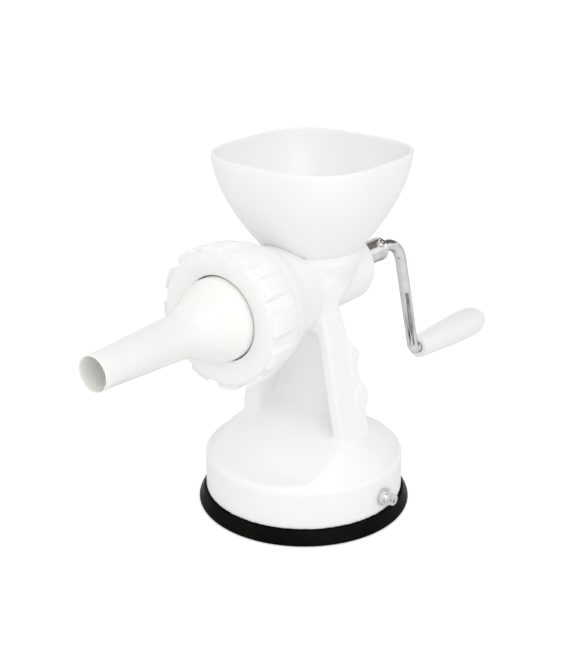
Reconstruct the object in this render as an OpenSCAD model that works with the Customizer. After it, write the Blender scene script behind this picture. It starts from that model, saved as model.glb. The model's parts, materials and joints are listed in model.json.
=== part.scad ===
/* Hand crank meat grinder on a suction base.
   Origin: centre of the rubber cup, on the table. The feed barrel lies along Y at x = 0:
   the nozzle points to -Y, the crank to +Y. */

/* [Base] */
// Radius of the rubber cup where it meets the table
cup_r = 63.2; // [62.5:0.1:64]
// Radius of the plastic drum above the cup
drum_r = 58.7; // [58.5:0.1:59.5]
// Height of the drum's deck
deck_z = 33; // [32.5:0.1:34]
// Height where the legs stand on the dome
dome_z = 50; // [49:0.1:51]
// Wall of the mouldings
wall = 2.6; // [2.4:0.1:2.8]

/* [Pedestal] */
// Half the width of the pedestal at the dome
foot_half = 37.5; // [37:0.1:38]
// Half the width of the pedestal under the barrel
neck_half = 23; // [22.5:0.1:23.5]
// Thickness of a leg
leg_t = 9.3; // [8.8:0.1:9.8]

/* [Barrel] */
// Height of the barrel's axis
axis_z = 137; // [136.8:0.1:137.2]
// Outer radius of the barrel behind its flare
barrel_r = 21.5; // [21.2:0.1:22]
// Radius of the bore round the auger
bore_r = 18; // [17.6:0.1:18.2]
// Where the barrel ends
barrel_end_y = 41.5; // [41.4:0.1:41.6]
// Radius of the hole plate and the nozzle's flange
plate_r = 29.5; // [29.3:0.1:29.6]

/* [Hopper] */
// Height of the hopper's rim
rim_z = 212.2; // [210:0.1:214]
// Half the side of the hopper's rim
rim_half = 49.5; // [48:0.1:50]
// Outer radius of the hopper's neck
neck_r = 28.8; // [28.6:0.1:29]
// Where the hopper stands along the barrel
hopper_y = 7.1; // [7:0.1:7.2]
// Radius of the throat that feeds the barrel
throat_r = 15; // [14:0.1:15.4]

/* [Ring nut] */
// Radius over the grip pads
nut_r = 40; // [39.6:0.1:40.4]
// Number of grip pads
pads = 12; // [10:1:14]
// Radius of the hole that the nozzle comes through
nut_hole_r = 23.75; // [23.5:0.05:24]
// Front of the ring nut
nut_front_y = -75.8; // [-75.9:0.1:-75.7]

/* [Nozzle] */
// Where the nozzle's tip is
tip_y = -166.5; // [-175:0.5:-150]
// Outer radius of the tip
tip_r = 9.8; // [9.6:0.1:10]
// Wall of the tip
tip_wall = 0.8; // [0.7:0.1:1]

/* [Crank] */
// Radius of the drive shaft
shaft_r = 5; // [4.8:0.1:5.2]
// Radius of the hub
hub_r = 7; // [6.8:0.1:7.2]
// Radius of the arm's rod
rod_r = 3.6; // [3.5:0.05:3.7]
// Height of the corner where the arm turns into the grip
grip_z = 56.3; // [56:0.1:57]
// Lean of the arm
arm_lean = 15.4; // [15.2:0.1:15.6]
// Droop of the grip
grip_tilt = 2.4; // [2:0.1:3]
// Length of the grip
grip_len = 82; // [80:0.5:84]
// Greatest radius of the grip
grip_r = 10.2; // [10:0.1:10.6]

/* [Suction lever] */
// Direction of the lever's axle, from +X towards +Y
lever_angle = -2.5; // [-3:0.5:-1.5]
// Height of the lever's axle
lever_z = 19; // [19:0.1:19.1]
// Throw of the eccentric pin
throw_r = 2.5; // [2.4:0.1:2.6]
// Length of the lever
lever_len = 14.5; // [13:0.5:15.5]

/* [Fits] */
// Clearance between a turning shaft and its hole, on the radius
running = 0.05; // [0.02:0.01:0.09]
// Clearance between parts that stay still, on the radius
seated = 0.02; // [0.01:0.01:0.05]
// Gap between parts that can be lifted off or turned
gap = 0.3; // [0.3:0.05:0.35]

/* [Hidden] */
$fn = 96;
plastic = [0.95, 0.95, 0.94];
cream = [0.96, 0.95, 0.90];
steel = [0.75, 0.75, 0.77];
rubber = [0.04, 0.04, 0.04];
eps = 0.01;

// Along the barrel, from the nozzle to the crank
chamber_r = 24.6;
blade_r = chamber_r - 1;
flange_t = 2.6;
plate_t = 4.4;
knife_t = 5;
nut_face_t = 7;
flange_y = nut_front_y + nut_face_t + seated;
plate_y = flange_y + flange_t + seated;
seat_y = plate_y + plate_t + seated;
knife_y = seat_y + seated;
auger_y = knife_y + knife_t + seated;
barrel_front_y = plate_y + 0.8;
nut_rear_y = -52.5;
flare_r = 36.5;
flare_to = 2;
flare_power = 1.6;
side_rib_x = 22.8;
bore_end_y = 13.5;
plate_pin_r = 1.5;
auger_end_y = bore_end_y - 0.5;
// Screw thread between the barrel and the ring nut, drawn as rings
thread_root_r = 32.9;
thread_top_r = 34.2;
thread_pitch = 4;
thread_w = 1.5;
nut_body_r = nut_r - 3;
// Where the nozzle bends into its flare and out of it, from its flange
nozzle_bend = 38.2;
nozzle_neck = 10.2;
// Shaft
square = 9;
drive_square = 7;
pin_r = 3.5;
bush_r = 8;
bush_y = 22;
bush_head_r = 10.5;
bush_head_t = 2;
washer_t = 1;
hub_y = barrel_end_y + bush_head_t + washer_t + 2 * seated + 0.1;
hub_end_y = 76;
cross_pin_y = 54;
cross_pin_r = 1.5;
shaft_end_y = 62;
rod_start_y = 64;
screw_y = 70.3;
screw_turn = 40;
hub_screw_r = 1.5;
// Crank arm in the plane x = 0
arm_bend_r = 19;
grip_bend_r = 6;
arm_corner_y = 96.1;
arm_turn = 90 - arm_lean;
grip_turn = 90 - arm_lean - grip_tilt;
arm_run = (axis_z - grip_z) / cos(arm_lean);
grip_corner_y = arm_corner_y + (axis_z - grip_z) * tan(arm_lean);
arm_cut = arm_bend_r * tan(arm_turn / 2);
grip_cut = grip_bend_r * tan(grip_turn / 2);
spindle_r = 3;
groove_turn = -45;
grip_start = 5;
pocket = 12;
pocket_r = 5.5;
wide_at = 0.77 * grip_len;
washer_at = grip_start + grip_len - pocket + gap;
// Hopper
hopper_wall = 2;
neck_z = 158;
hopper_z = neck_z + 0.2;
socket_r = 25;
socket_z = 155.4;
crown_h = 12;
collar_z = 151.5;
throat_low_z = 139.5;
throat_low_r = 20.4;
rim_power = 3.24;
bowl_power = 1.75;
rim_diag = rim_half * sqrt(2) / pow(2, 1 / rim_power);
// Base
drum_foot_z = 8.6;
cup_floor = 5.4;
plate_low_z = 10.8;
plate_high_z = 12.8;
plate_disc_r = 13.5;
plate_disc_t = 1.4;
base_screw_r = 1.6;
base_screw_len = 11;
base_head_t = 1.8;
leg_front_y = -11.4;
apron_slope = 0.38;
ceiling_z = deck_z - wall;
dome_y = -3.5;
lift = 2 * throw_r * sin(45);
pin_z = lever_z - throw_r * sin(45);
ecc_r = 1.8;
axle_r = 3;
lever_t = 2.4;
lever_screw_r = 1.5;
head_half = 4;
head_wide = throw_r + ecc_r + gap + 2;
slot_up = ecc_r + 0.15;
boss_at = drum_r - wall - 9.1;
screw_angles = [60, 180, 300];

// Puts its child on the barrel's axis, with the child's +Z along +Y
module on_axis(y) {
    translate([0, y, axis_z]) rotate([-90, 0, 0]) children();
}

// Puts its child on the lever's axle, with the child's +Z pointing out of the base
module on_axle(r) {
    rotate([0, 0, lever_angle]) translate([r, 0, lever_z]) rotate([0, 90, 0]) children();
}

// Front view of the pedestal, reduced on each side
module leg_front(inset) {
    slope = (foot_half - neck_half) / (axis_z - dome_z);
    low = foot_half + slope * (dome_z - deck_z) - inset;
    high = neck_half - inset;
    polygon([[-low, deck_z - 2], [low, deck_z - 2], [high, axis_z], [-high, axis_z]]);
}

// Height of the bay's floor
function apron(y) = dome_z + apron_slope * (y - leg_front_y);

// Side view of the pedestal: y to the right, z up
module leg_side(outset) {
    low = deck_z - 2;
    polygon([[leg_front_y, low], [14 + outset, low], [13.8 + outset, 62], [12.4 + outset, 81],
             [-0.6 + outset, axis_z], [leg_front_y - 4.2, axis_z]]);
}

module across_x(half) {
    rotate([90, 0, 90]) linear_extrude(height = 2 * half, center = true) children();
}

module along_y(from, to) {
    translate([0, to, 0]) rotate([90, 0, 0]) linear_extrude(height = to - from) children();
}

module pedestal() {
    rib_h = 8;
    intersection() {
        along_y(-40, 40) leg_front(0);
        across_x(50) leg_side(0);
    }
    // two moulded ribs round the back of the legs
    for (z = [68, 93.4]) {
        intersection() {
            along_y(0, 40) leg_front(-1);
            across_x(50) leg_side(3.6);
            translate([-60, 0, z]) cube([120, 60, rib_h]);
        }
    }
}

// The bay between the legs: open to the front, its floor running on from the apron
module bay() {
    intersection() {
        along_y(-70, 40) leg_front(leg_t);
        across_x(50) bay_side();
    }
}

module bay_side() {
    foot_y = -1;
    foot_r = 10;
    polygon([[-60, apron(-60)], [foot_y, apron(foot_y)], [foot_y + 8.5, apron(foot_y) + 7.5],
             [foot_y + foot_r, apron(foot_y) + 2 * foot_r - 3], [-0.6, axis_z - 18], [-60, axis_z - 18]]);
}

// All that lies above the apron, which slopes from the bay down to the drum's front
module above_apron() {
    bend_y = -27;
    low_y = -40;
    across_x(70) polygon([[leg_front_y, dome_z], [leg_front_y, 90], [-80, 90], [-80, deck_z - 3],
                          [-57, deck_z], [low_y, deck_z + 3.6], [bend_y, apron(bend_y)]]);
}

// Solid of revolution under the legs
module dome(inset) {
    top = dome_z - inset;
    translate([0, dome_y, 0]) rotate_extrude()
        polygon([[0, deck_z - 6], [55.4 - inset, deck_z - 6], [55.4 - inset, 32],
                 [46.8 - inset, 42.4 - inset / 2], [38 - inset / 2, top], [0, top]]);
}

module drum() {
    edge = 3;
    rotate_extrude() {
        translate([0, drum_foot_z]) square([drum_r, deck_z - edge - drum_foot_z]);
        translate([0, deck_z - edge - 1]) square([drum_r - edge, edge + 1]);
        translate([drum_r - edge, deck_z - edge]) circle(r = edge);
    }
}

// Keeps the dome's back sloping down to the deck
module back_slope() {
    across_x(70) polygon([[15, dome_z], [52, deck_z + 1], [80, deck_z + 1], [80, 90], [15, 90]]);
}

// Outer radius of the barrel, with a smooth flare towards the ring nut
function barrel_at(y) = let(t = (flare_to - y) / (flare_to - nut_rear_y))
    barrel_r + (flare_r - barrel_r) * pow(t, flare_power);

module barrel_outside() {
    steps = 12;
    edge = 3;
    on_axis(0) rotate_extrude() polygon(concat(
        [[0, barrel_front_y], [thread_root_r, barrel_front_y], [thread_root_r, nut_rear_y]],
        [for (i = [0:steps]) let(y = nut_rear_y + (flare_to - nut_rear_y) * i / steps) [barrel_at(y), y]],
        [for (i = [0:3]) [barrel_r - edge * (1 - cos(30 * i)), barrel_end_y - edge * (1 - sin(30 * i))]],
        [[0, barrel_end_y]]));
    for (i = [0:2]) {
        on_axis(nut_rear_y - 4 - i * thread_pitch) cylinder(r = thread_top_r, h = thread_w);
    }
    // throat under the hopper, with a collar round its top
    translate([0, hopper_y, throat_low_z]) cylinder(r1 = throat_low_r, r2 = neck_r, h = collar_z - throat_low_z);
    translate([0, hopper_y, collar_z - eps]) cylinder(r = neck_r, h = neck_z - collar_z + eps);
    // side ribs
    translate([-side_rib_x, -18, axis_z - 2.5]) cube([2 * side_rib_x, 35.5, 6.5]);
}

module chute() {
    run = throat_r + 12;
    lean = 27;
    translate([0, hopper_y, neck_z + 2]) rotate([-lean, 0, 0])
        translate([0, 0, -run]) cylinder(r = throat_r, h = run + 20);
}

module housing() {
    color(plastic) difference() {
        union() {
            drum();
            difference() {
                dome(0);
                back_slope();
                above_apron();
            }
            difference() {
                pedestal();
                bay();
            }
            barrel_outside();
            for (a = screw_angles) rotate([0, 0, a]) translate([boss_at, 0, plate_high_z + seated])
                cylinder(r = 4, h = ceiling_z - plate_high_z);
        }
        // inside of the drum, round the screw bosses
        difference() {
            translate([0, 0, 0]) cylinder(r = drum_r - wall, h = ceiling_z);
            for (a = screw_angles) rotate([0, 0, a]) translate([boss_at, 0, plate_high_z + seated])
                cylinder(r = 4, h = ceiling_z);
        }
        for (a = screw_angles) rotate([0, 0, a]) translate([boss_at, 0, 5])
            cylinder(r = base_screw_r + seated, h = 18);
        // window for the lever's axle
        rotate([0, 0, lever_angle]) translate([40, -5, lever_z - 8]) cube([30, 16, 12]);
        // bore, plate seat, throat and shaft hole
        on_axis(barrel_front_y - 1) cylinder(r = plate_r + seated, h = seat_y - barrel_front_y + 1);
        on_axis(seat_y - 1) cylinder(r = chamber_r, h = knife_t + 2);
        on_axis(seat_y - 1) cylinder(r = bore_r, h = bore_end_y - seat_y + 1);
        on_axis(bore_end_y - 1) cylinder(r = bush_r + seated, h = 40);
        intersection() {
            chute();
            translate([0, hopper_y, axis_z]) cylinder(r = neck_r - 3, h = 40);
        }
        translate([0, hopper_y, socket_z]) cylinder(r = socket_r + gap, h = 20);
        // the barrel's crown is cut to the hopper's shape
        translate([0, hopper_y, neck_z])
            cylinder(r1 = neck_r + 1.5 * gap, r2 = diag(neck_z + crown_h) + 1.5 * gap, h = crown_h);
        // hole of the plate's locating pin
        translate([0, seat_y - 2.5, axis_z + plate_r - 2]) rotate([-90, 0, 0])
            cylinder(r = plate_pin_r + seated, h = 8);
    }
}

// Half diagonal of the hopper at height z, and the power of its rounded square
function fall(z) = max(0, rim_z - z) / (rim_z - hopper_z);
function diag(z) = rim_diag - (rim_diag - neck_r) * pow(fall(z), bowl_power);
function power(z) = rim_power - (rim_power - 2) * fall(z);
function half(z, inset) = (diag(z) - inset) / sqrt(2) * pow(2, 1 / power(z));
function signed(v, p) = sign(v) * pow(abs(v), p);
function ring(z, inset, n) = [for (i = [0:n - 1]) let(a = 360 * i / n, h = half(z, inset), p = 2 / power(z))
    [h * signed(cos(a), p), h * signed(sin(a), p), z]];
function quads(levels, n) = [for (l = [0:levels - 2], i = [0:n - 1])
    [l * n + i, l * n + (i + 1) % n, (l + 1) * n + (i + 1) % n, (l + 1) * n + i]];
function flip(f) = [for (k = [len(f) - 1:-1:0]) f[k]];

// Solid between rounded square rings at the given heights, lowest first
module bowl(heights, inset) {
    n = 56;
    levels = len(heights);
    points = [for (z = heights) each ring(z, inset, n)];
    bottom = [[for (i = [0:n - 1]) i]];
    top = [[for (i = [n - 1:-1:0]) (levels - 1) * n + i]];
    polyhedron(points, concat([for (q = quads(levels, n)) flip(q)], bottom, top), 4);
}

module hopper() {
    steps = 9;
    rise = rim_z - hopper_z;
    floor_z = hopper_z + 2.4;
    outer = [for (i = [0:steps]) hopper_z + rise * i / steps];
    inner = [for (i = [0:steps]) floor_z + (rim_z + 0.5 - floor_z) * i / steps];
    color(plastic) translate([0, hopper_y, 0]) difference() {
        union() {
            bowl(outer, 0);
            translate([0, 0, socket_z + gap]) cylinder(r = socket_r, h = hopper_z - socket_z - gap + 1);
        }
        bowl(inner, hopper_wall);
        translate([0, 0, socket_z - 1]) cylinder(r = throat_r + 3, h = 12);
    }
}

module ring_nut() {
    pad_angle = 19;
    pad_back = 0.4;
    dish = 1.8;
    face_r = nut_hole_r + 6.6;
    edge = 0.6;
    inner_r = thread_top_r + 0.4;
    rear = nut_rear_y - gap;
    deep = rear - nut_front_y;
    color(plastic) difference() {
        union() {
            on_axis(nut_front_y) rotate_extrude()
                polygon([[nut_hole_r, dish], [face_r, 0], [nut_body_r - edge, 0],
                         [nut_body_r, edge], [nut_body_r, deep], [nut_hole_r, deep]]);
            for (i = [0:pads - 1]) rotate_pad(7 + i * 360 / pads) intersection() {
                on_axis(nut_front_y + pad_back) cylinder(r = nut_r, h = deep - pad_back);
                on_axis(nut_front_y + pad_back) linear_extrude(height = deep)
                    polygon([[20, 0], [60 * cos(pad_angle / 2), -60 * sin(pad_angle / 2)],
                             [60 * cos(pad_angle / 2), 60 * sin(pad_angle / 2)]]);
            }
        }
        on_axis(nut_front_y - 1) cylinder(r = nut_hole_r, h = 10);
        on_axis(flange_y - seated) cylinder(r = inner_r, h = 40);
    }
    // rings of the thread
    color(plastic) for (i = [0:1])
        on_axis(nut_rear_y - 6 - i * thread_pitch) rotate_extrude()
            translate([thread_root_r + 0.4, 0]) square([inner_r - thread_root_r, thread_w]);
}

// Turns its child round the barrel's axis, 0 pointing to +X
module rotate_pad(a) {
    translate([0, 0, axis_z]) rotate([0, -a, 0]) translate([0, 0, -axis_z]) children();
}

module stuffing_nozzle() {
    length = flange_y - tip_y;
    bend = length - nozzle_bend;
    neck = length - nozzle_neck;
    bend_r = tip_r + 2.2;
    straight = 10;
    color(cream) on_axis(tip_y) rotate_extrude() polygon([
        [tip_r - tip_wall, 0], [tip_r, 0], [tip_r, straight], [bend_r, bend - 4], [bend_r + 1, bend + 3],
        [nut_hole_r - 1.2, neck],
        [nut_hole_r - 0.7, length], [plate_r - seated, length], [plate_r - seated, length + flange_t],
        [nut_hole_r - 3.4, length + flange_t], [nut_hole_r - 3.4, neck + 1.5], [bend_r - 1, bend + 4.5],
        [tip_r - tip_wall + 0.9, bend - 3], [tip_r - tip_wall, straight]]);
}

module hole_plate() {
    hole_r = 2.5;
    color(steel) difference() {
        on_axis(plate_y) cylinder(r = plate_r, h = plate_t);
        on_axis(plate_y - 1) cylinder(r = pin_r + running, h = plate_t + 2);
        for (row = [[8, 9], [14, 15.5], [20, 22]])
            for (i = [0:row[0] - 1]) rotate_pad(360 * (i + 0.5) / row[0])
                translate([row[1], 0, 0]) on_axis(plate_y - 1) cylinder(r = hole_r, h = plate_t + 2, $fn = 24);
        // notch for the locating pin
        translate([0, plate_y - 1, axis_z + plate_r - 2]) rotate([-90, 0, 0])
            cylinder(r = plate_pin_r + gap, h = plate_t + 2);
        translate([-plate_pin_r - gap, plate_y - 1, axis_z + plate_r - 2])
            cube([2 * (plate_pin_r + gap), plate_t + 2, 4]);
    }
}

module plate_pin() {
    color(steel) translate([0, seat_y - 2.4, axis_z + plate_r - 2]) rotate([-90, 0, 0])
        cylinder(r = plate_pin_r, h = 7);
}

module cross_knife() {
    color(steel) difference() {
        union() {
            on_axis(knife_y) cylinder(r = 9, h = knife_t);
            for (a = [0:90:270]) rotate_pad(a) on_axis(knife_y) linear_extrude(height = knife_t - 1)
                polygon([[0, -3.4], [blade_r, -4.2], [blade_r, 1.2], [0, 3.4]]);
        }
        on_axis(knife_y - 1) linear_extrude(height = knife_t + 2)
            square(square + 2 * running, center = true);
    }
}

module auger() {
    core_front = 11;
    core_rear = 7.5;
    flight_r = bore_r - 0.7;
    length = auger_end_y - auger_y;
    turns = 2.25;
    color(cream) difference() {
        union() {
            on_axis(auger_y) cylinder(r1 = core_front, r2 = core_rear, h = length);
            on_axis(auger_y + 1) linear_extrude(height = length - 2, twist = 360 * turns, slices = 90, segments = 8)
                polygon([[0, -3], [core_rear, -5], [flight_r - 1, -3.6], [flight_r, -2.2],
                         [flight_r, 2.2], [flight_r - 1, 3.6], [core_rear, 5], [0, 3]]);
            on_axis(auger_end_y - 3) cylinder(r = bore_r - 1, h = 3);
            on_axis(knife_y - eps) linear_extrude(height = auger_y - knife_y + 1)
                square(square, center = true);
            on_axis(plate_y + 0.5) cylinder(r = pin_r, h = auger_y - plate_y);
        }
        // square socket for the drive shaft
        on_axis(auger_end_y - 16) linear_extrude(height = 20)
            square(drive_square + 2 * seated, center = true);
    }
}

module drive_shaft() {
    color(steel) {
        on_axis(auger_end_y - 15.5) linear_extrude(height = 16) square(drive_square, center = true);
        difference() {
            on_axis(auger_end_y + 0.2) cylinder(r = shaft_r, h = shaft_end_y - auger_end_y - 0.2);
            translate([0, cross_pin_y, axis_z]) cylinder(r = cross_pin_r + seated, h = 40, center = true);
        }
    }
}

module rear_bush() {
    color(cream) difference() {
        union() {
            on_axis(bush_y) cylinder(r = bush_r, h = barrel_end_y - bush_y + 1);
            on_axis(barrel_end_y + seated) cylinder(r = bush_head_r, h = bush_head_t);
        }
        on_axis(bush_y - 1) cylinder(r = shaft_r + running, h = 40);
    }
}

module shaft_seal() {
    wire = 1.4;
    color(rubber) on_axis(bush_y - 2 - wire) rotate_extrude()
        translate([shaft_r + running + wire, wire]) circle(r = wire, $fn = 32);
}

module thrust_washer() {
    color(steel) difference() {
        on_axis(barrel_end_y + bush_head_t + 2 * seated) cylinder(r = bush_head_r - 2, h = washer_t);
        on_axis(barrel_end_y) cylinder(r = shaft_r + running, h = 10);
    }
}

module crank_hub() {
    color(steel) difference() {
        union() {
            on_axis(hub_y) cylinder(r = hub_r, h = hub_end_y - hub_y);
            on_axis(hub_end_y - 3) cylinder(r = hub_r + 0.4, h = 2);
        }
        on_axis(hub_y - 1) cylinder(r = shaft_r + seated, h = shaft_end_y + 0.5 - hub_y + 1);
        on_axis(shaft_end_y) cylinder(r = rod_r + seated, h = 40);
        translate([0, cross_pin_y, axis_z]) cylinder(r = cross_pin_r + seated, h = 40, center = true);
        at_screw() cylinder(r = hub_screw_r + seated, h = 20);
    }
}

module hub_pin() {
    color(steel) translate([0, cross_pin_y, axis_z]) cylinder(r = cross_pin_r, h = 2 * hub_r - 0.4, center = true);
}

module hub_screw() {
    color(steel) at_screw() {
        translate([0, 0, rod_r + seated]) cylinder(r = hub_screw_r, h = hub_r + 1 - rod_r);
        translate([0, 0, hub_r + 0.1]) cylinder(r = hub_screw_r + 0.9, h = 1.4);
    }
}

// Puts its child at the hub's screw, with the child's +Z pointing out of the hub
module at_screw() {
    translate([0, screw_y, axis_z]) rotate([0, screw_turn, 0]) children();
}

// Quarter-like bend of the rod in the plane x = 0, round (y, z): 0 is down, 90 is +Y
module rod_bend(y, z, from, turn, radius) {
    over = 2;
    translate([0, y, z]) rotate([0, 90, 0]) rotate([0, 0, from - over])
        rotate_extrude(angle = turn + 2 * over)
            translate([radius, 0]) circle(r = rod_r - 0.03, $fn = 48);
}

// Rod from the hub down to the grip, with two bends, and the spindle of the grip
module crank_arm() {
    groove_w = 2.2;
    groove_d = 1.1;
    groove_from = 38;
    groove_len = 38;
    color(steel) difference() {
        crank_rod();
        // groove pressed into the lower half of the arm
        translate([0, arm_corner_y, axis_z]) rotate([180 + arm_lean, 0, 0]) rotate([0, 0, groove_turn])
            translate([-groove_w / 2, rod_r - groove_d, groove_from]) cube([groove_w, 3, groove_len]);
    }
}

module crank_rod() {
    on_axis(rod_start_y) cylinder(r = rod_r, h = arm_corner_y - arm_cut - rod_start_y + eps);
    rod_bend(arm_corner_y - arm_cut, axis_z - arm_bend_r, 180 - arm_turn, arm_turn, arm_bend_r);
    translate([0, arm_corner_y, axis_z]) rotate([180 + arm_lean, 0, 0])
        translate([0, 0, arm_cut - eps])
            cylinder(r = rod_r, h = arm_run - arm_cut - grip_cut + 2 * eps);
    rod_bend(grip_corner_y + grip_cut * cos(grip_tilt) + grip_bend_r * sin(grip_tilt),
             grip_z - grip_cut * sin(grip_tilt) + grip_bend_r * cos(grip_tilt),
             arm_lean - 90, grip_turn, grip_bend_r);
    at_grip() {
        translate([0, 0, grip_cut - eps]) cylinder(r = rod_r, h = grip_start - gap - grip_cut);
        translate([0, 0, grip_start - 2]) cylinder(r = spindle_r, h = grip_len - pocket + 5);
    }
}

// Puts its child at the lower corner of the arm, with the child's +Z along the grip
module at_grip() {
    translate([0, grip_corner_y, grip_z]) rotate([-90 - grip_tilt, 0, 0]) children();
}

module grip() {
    neck = 7.6;
    fullness = 1.25;
    color(plastic) at_grip() translate([0, 0, grip_start]) difference() {
        rotate_extrude() polygon(concat(
            [[0, 0], [neck - 1, 0]],
            [for (i = [0:12]) let(t = i / 12)
                [neck + (grip_r - neck) * pow(sin(90 * t), fullness), 1 + (wide_at - 1) * t]],
            [for (i = [1:12]) let(a = 90 * i / 12)
                [grip_r * cos(a), wide_at + (grip_len - wide_at) * sin(a)]]));
        translate([0, 0, -1]) cylinder(r = spindle_r + running, h = grip_len + 2);
        translate([0, 0, grip_len - pocket]) cylinder(r = pocket_r, h = pocket + 1);
    }
}

module grip_washer() {
    color(steel) at_grip() translate([0, 0, washer_at]) difference() {
        cylinder(r = 5, h = 1);
        translate([0, 0, -1]) cylinder(r = spindle_r + seated, h = 3);
    }
}

module grip_plug() {
    plug_r = pocket_r - seated;
    color(plastic) at_grip() translate([0, 0, grip_start + grip_len - 5]) intersection() {
        cylinder(r = plug_r, h = 5);
        translate([0, 0, 5 - (grip_len - wide_at)]) sphere(r = grip_len - wide_at);
    }
}

module suction_cup() {
    seat_r = drum_r - wall - gap;
    shoulder_z = drum_foot_z - gap;
    lip_in = seat_r - 5.8;
    boss = plate_disc_r + 0.5;
    color(rubber) rotate_extrude() polygon([
        [0, 1.8], [cup_r - 7.2, 1.4], [cup_r - 5.2, 0], [cup_r - 0.4, 0], [cup_r, 1], [cup_r - 0.6, 3.2],
        [drum_r + 0.8, shoulder_z], [seat_r, shoulder_z], [seat_r, plate_low_z - 0.1],
        [lip_in, plate_low_z - 0.1], [lip_in, cup_floor - 0.4], [boss + 1, cup_floor - 0.8],
        [boss, cup_floor], [0, cup_floor]]);
}

module cup_plate() {
    color(steel) translate([0, 0, cup_floor + seated]) cylinder(r = plate_disc_r, h = plate_disc_t);
}

module lift_stem() {
    low = cup_floor + plate_disc_t + 2 * seated;
    head_low = plate_high_z + gap;
    head_high = lever_z + 3;
    color(steel) rotate([0, 0, lever_angle]) difference() {
        union() {
            translate([0, 0, low]) cylinder(r = 4, h = head_low + 1 - low);
            translate([-head_half, -head_wide, head_low]) cube([2 * head_half, 2 * head_wide, head_high - head_low]);
        }
        translate([-head_half - 1, -throw_r - ecc_r - gap, pin_z - slot_up])
            cube([2 * head_half + 2, 2 * (throw_r + ecc_r + gap), 2 * slot_up]);
    }
}

// Coil between the stem's head and the deck
module stem_spring() {
    wire = 0.6;
    coil_r = 3.2;
    turns = 4;
    low = lever_z + 3 + wire + 0.1;
    high = ceiling_z - wire - 0.1;
    sides = 6;
    n = turns * 16;
    at = function(i) let(a = 360 * turns * i / n) [coil_r * cos(a), coil_r * sin(a), low + (high - low) * i / n];
    points = [for (i = [0:n], k = [0:sides - 1]) let(a = 360 * turns * i / n, b = 360 * k / sides,
        c = at(i)) [c[0] + wire * cos(b) * cos(a), c[1] + wire * cos(b) * sin(a), c[2] + wire * sin(b)]];
    faces = concat([for (q = quads(n + 1, sides)) q],
        [[for (k = [sides - 1:-1:0]) k]], [[for (k = [0:sides - 1]) n * sides + k]]);
    color(steel) polyhedron(points, faces, 4);
}

module base_plate() {
    color(plastic) difference() {
        union() {
            translate([0, 0, plate_low_z]) cylinder(r = drum_r - wall - gap, h = plate_high_z - plate_low_z);
            // bearing blocks of the lever's axle
            for (r = [14, drum_r - wall - 12.1]) rotate([0, 0, lever_angle]) translate([r, -5, plate_high_z - 1])
                cube([6, 10, lever_z + 5 - plate_high_z + 1]);
        }
        translate([0, 0, plate_low_z - 1]) cylinder(r = 4 + running, h = 6);
        on_axle(10) cylinder(r = axle_r + running, h = 60);
        for (a = screw_angles) rotate([0, 0, a]) translate([boss_at, 0, plate_low_z - 1])
            cylinder(r = base_screw_r + seated, h = 6);
    }
}

module base_screws() {
    color(steel) for (a = screw_angles) rotate([0, 0, a]) translate([boss_at, 0, 0]) {
        translate([0, 0, plate_low_z - base_head_t]) cylinder(r = base_screw_r + 1, h = base_head_t - seated);
        translate([0, 0, plate_low_z - base_head_t / 2]) cylinder(r = base_screw_r, h = base_screw_len);
    }
}

module lever_axle() {
    color(steel) {
        on_axle(head_half + 1.4) cylinder(r = axle_r, h = drum_r + 1 - head_half - 1.4);
        // eccentric pin, through the slot in the stem's head
        rotate([0, 0, lever_angle]) translate([-head_half, throw_r * cos(45), pin_z])
            rotate([0, 90, 0]) cylinder(r = ecc_r, h = 2 * head_half + 2);
    }
}

// Flat lever outside the drum, drooping a little from its axle
module suction_lever() {
    droop = 30;
    inner = drum_r + 1 + gap;
    color(steel) difference() {
        rotate([0, 0, lever_angle]) translate([inner, 0, lever_z]) rotate([90, 0, 90])
            rotate([0, 0, -droop]) linear_extrude(height = lever_t) {
                circle(r = 4.4);
                translate([0, -3.6]) square([lever_len - 3, 7.2]);
                translate([lever_len - 3.6, 0]) circle(r = 3.6);
            }
        on_axle(drum_r) cylinder(r = lever_screw_r + seated, h = 10);
    }
}

module lever_screw() {
    color(steel) {
        on_axle(drum_r + 1 + seated) cylinder(r = lever_screw_r, h = lever_t + gap + 0.5);
        on_axle(drum_r + 1 + gap + lever_t + seated) cylinder(r = lever_screw_r + 1.3, h = 1.3);
    }
}

housing();
hopper();
ring_nut();
stuffing_nozzle();
hole_plate();
plate_pin();
cross_knife();
auger();
drive_shaft();
rear_bush();
shaft_seal();
thrust_washer();
crank_hub();
hub_pin();
crank_arm();
hub_screw();
grip();
grip_washer();
grip_plug();
suction_cup();
cup_plate();
lift_stem();
stem_spring();
base_plate();
base_screws();
lever_axle();
suction_lever();
lever_screw();
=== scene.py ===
"""Looks of the hand crank meat grinder.

Shapes are drawn in millimetres. place() and finished() turn them into pieces in metres.
"""
import json
import math

import bmesh
import bpy
from mathutils import Matrix, Vector

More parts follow.
